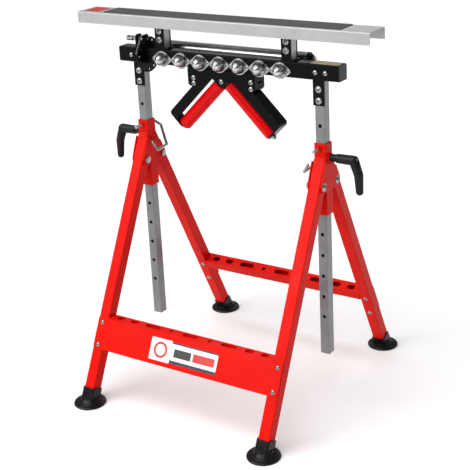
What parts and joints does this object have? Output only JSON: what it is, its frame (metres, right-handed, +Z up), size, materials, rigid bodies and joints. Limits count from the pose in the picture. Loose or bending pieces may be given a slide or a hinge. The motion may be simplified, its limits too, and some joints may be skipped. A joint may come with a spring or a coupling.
{
  "type": "folding multi-function work support stand",
  "caption": "Folding A-frame work support stand, height adjustable, with a turning head: a gripped channel rail, ball transfer units, a long roller and a V of two rollers.",
  "frame": {"origin": "on the floor, under the middle of the top rail and midway between the front and rear feet", "axes": "X along the rail to the user's right, Y from the front of the stand to the back, Z up"},
  "size_m": [0.824, 0.7112, 0.9445],
  "materials": {
    "red_paint": "glossy red powder coat on steel",
    "black_paint": "glossy black powder coat on steel",
    "galvanised": "dull zinc plated steel tube",
    "zinc": "bright zinc plated steel",
    "rail_silver": "satin silver sheet steel",
    "roller_steel": "turned bright steel tube",
    "ball_steel": "polished steel ball",
    "red_roller": "glossy red roller covering",
    "grip_rubber": "fine grained anti-slip strip",
    "foot_rubber": "satin black moulded rubber",
    "lever_plastic": "fine textured black plastic",
    "black_plastic": "smooth black moulding"
  },
  "bodies": {
    "upright_sleeves": {"sleeve_left": "red_paint", "sleeve_right": "red_paint", "gusset_plates": "red_paint", "pivot_bolts": "zinc", "clamp_bosses": "red_paint"},
    "front_legs": {"leg_front_left": "red_paint", "leg_front_right": "red_paint", "stretcher_front": "red_paint", "stretcher_front_bolts": "zinc", "feet_front": "foot_rubber"},
    "rear_legs": {"leg_rear_left": "red_paint", "leg_rear_right": "red_paint", "stretcher_rear": "red_paint", "stretcher_rear_bolts": "zinc", "feet_rear": "foot_rubber"},
    "carriage": {"inner_tube_left": "galvanised", "inner_tube_right": "galvanised", "end_beam_left": "black_paint", "end_beam_right": "black_paint", "beam_end_caps": "black_plastic", "tee_brackets": "black_paint", "bracket_bolts": "zinc", "pivot_shafts": "galvanised", "latch_bracket": "black_paint", "index_spring": "zinc", "pin_chain": "zinc"},
    "height_pin_l": {"height_pin_left": "zinc"},
    "height_pin_r": {"height_pin_right": "zinc"},
    "clamp_lever_l": {"clamp_lever_left": "lever_plastic", "clamp_stud_left": "zinc"},
    "clamp_lever_r": {"clamp_lever_right": "lever_plastic", "clamp_stud_right": "zinc"},
    "head": {"head_beam": "black_paint", "bearing_plugs": "black_plastic", "index_disc": "black_paint", "ball_cups": "zinc", "rail_posts": "rail_silver", "post_brackets": "black_paint", "head_bolts": "zinc", "top_rail": "rail_silver", "grip_strip": "grip_rubber", "v_hanger": "black_paint", "v_arms": "black_paint", "v_axles": "zinc", "roller_brackets": "black_paint", "roller_axle": "zinc"},
    "index_pin_body": {"index_pin": "zinc"},
    "long_roller_body": {"long_roller": "roller_steel", "long_roller_caps": "black_plastic"},
    "v_roller_l": {"v_roller_left": "red_roller"},
    "v_roller_r": {"v_roller_right": "red_roller"},
    "ball_body_1": {"ball_1": "ball_steel"},
    "ball_body_2": {"ball_2": "ball_steel"},
    "ball_body_3": {"ball_3": "ball_steel"},
    "ball_body_4": {"ball_4": "ball_steel"},
    "ball_body_5": {"ball_5": "ball_steel"},
    "ball_body_6": {"ball_6": "ball_steel"},
    "ball_body_7": {"ball_7": "ball_steel"}
  },
  "joints": [
    {"name": "front_leg_fold", "type": "hinge", "parent": "upright_sleeves", "child": "front_legs", "pos_m": [0.0125, -0.0332, 0.569], "axis": [1, 0, 0], "range_deg": [0, 24]},
    {"name": "rear_leg_fold", "type": "hinge", "parent": "upright_sleeves", "child": "rear_legs", "pos_m": [0.0125, 0.0332, 0.569], "axis": [-1, 0, 0], "range_deg": [0, 24]},
    {"name": "height_slide", "type": "slide", "parent": "upright_sleeves", "child": "carriage", "axis": [0, 0, 1], "range_m": [-0.054, 0.27]},
    {"name": "height_pin_pull_left", "type": "slide", "parent": "upright_sleeves", "child": "height_pin_l", "axis": [0, 1, 0], "range_m": [0, 0.065]},
    {"name": "height_pin_pull_right", "type": "slide", "parent": "upright_sleeves", "child": "height_pin_r", "axis": [0, 1, 0], "range_m": [0, 0.065]},
    {"name": "clamp_turn_left", "type": "hinge", "parent": "upright_sleeves", "child": "clamp_lever_l", "pos_m": [-0.2455, 0, 0.633], "axis": [-1, 0, 0], "range_deg": [-90, 90]},
    {"name": "clamp_turn_right", "type": "hinge", "parent": "upright_sleeves", "child": "clamp_lever_r", "pos_m": [0.2705, 0, 0.633], "axis": [1, 0, 0], "range_deg": [-90, 90]},
    {"name": "head_turn", "type": "hinge", "parent": "carriage", "child": "head", "pos_m": [0.006, 0, 0.8385], "axis": [1, 0, 0], "range_deg": [-90, 90]},
    {"name": "index_pin_pull", "type": "slide", "parent": "carriage", "child": "index_pin_body", "axis": [-1, 0, 0], "range_m": [0, 0.007], "stiffness_N_per_m": 600, "springref_m": -0.004, "deforming": ["index_spring"]},
    {"name": "long_roller_spin", "type": "hinge", "parent": "head", "child": "long_roller_body", "pos_m": [0.012, 0.044, 0.8515], "axis": [1, 0, 0], "continuous": true},
    {"name": "v_roller_spin_left", "type": "hinge", "parent": "head", "child": "v_roller_l", "pos_m": [-0.0075, 0, 0.7825], "axis": [-0.7071, 0, -0.7071], "continuous": true},
    {"name": "v_roller_spin_right", "type": "hinge", "parent": "head", "child": "v_roller_r", "pos_m": [0.0195, 0, 0.7825], "axis": [0.7071, 0, -0.7071], "continuous": true},
    {"name": "ball_spin_1", "type": "hinge", "parent": "head", "child": "ball_body_1", "pos_m": [-0.1665, -0.033, 0.8345], "axis": [1, 0, 0], "continuous": true},
    {"name": "ball_spin_2", "type": "hinge", "parent": "head", "child": "ball_body_2", "pos_m": [-0.11, -0.033, 0.8345], "axis": [1, 0, 0], "continuous": true},
    {"name": "ball_spin_3", "type": "hinge", "parent": "head", "child": "ball_body_3", "pos_m": [-0.0535, -0.033, 0.8345], "axis": [1, 0, 0], "continuous": true},
    {"name": "ball_spin_4", "type": "hinge", "parent": "head", "child": "ball_body_4", "pos_m": [0.003, -0.033, 0.8345], "axis": [1, 0, 0], "continuous": true},
    {"name": "ball_spin_5", "type": "hinge", "parent": "head", "child": "ball_body_5", "pos_m": [0.0595, -0.033, 0.8345], "axis": [1, 0, 0], "continuous": true},
    {"name": "ball_spin_6", "type": "hinge", "parent": "head", "child": "ball_body_6", "pos_m": [0.116, -0.033, 0.8345], "axis": [1, 0, 0], "continuous": true},
    {"name": "ball_spin_7", "type": "hinge", "parent": "head", "child": "ball_body_7", "pos_m": [0.1725, -0.033, 0.8345], "axis": [1, 0, 0], "continuous": true}
  ]
}
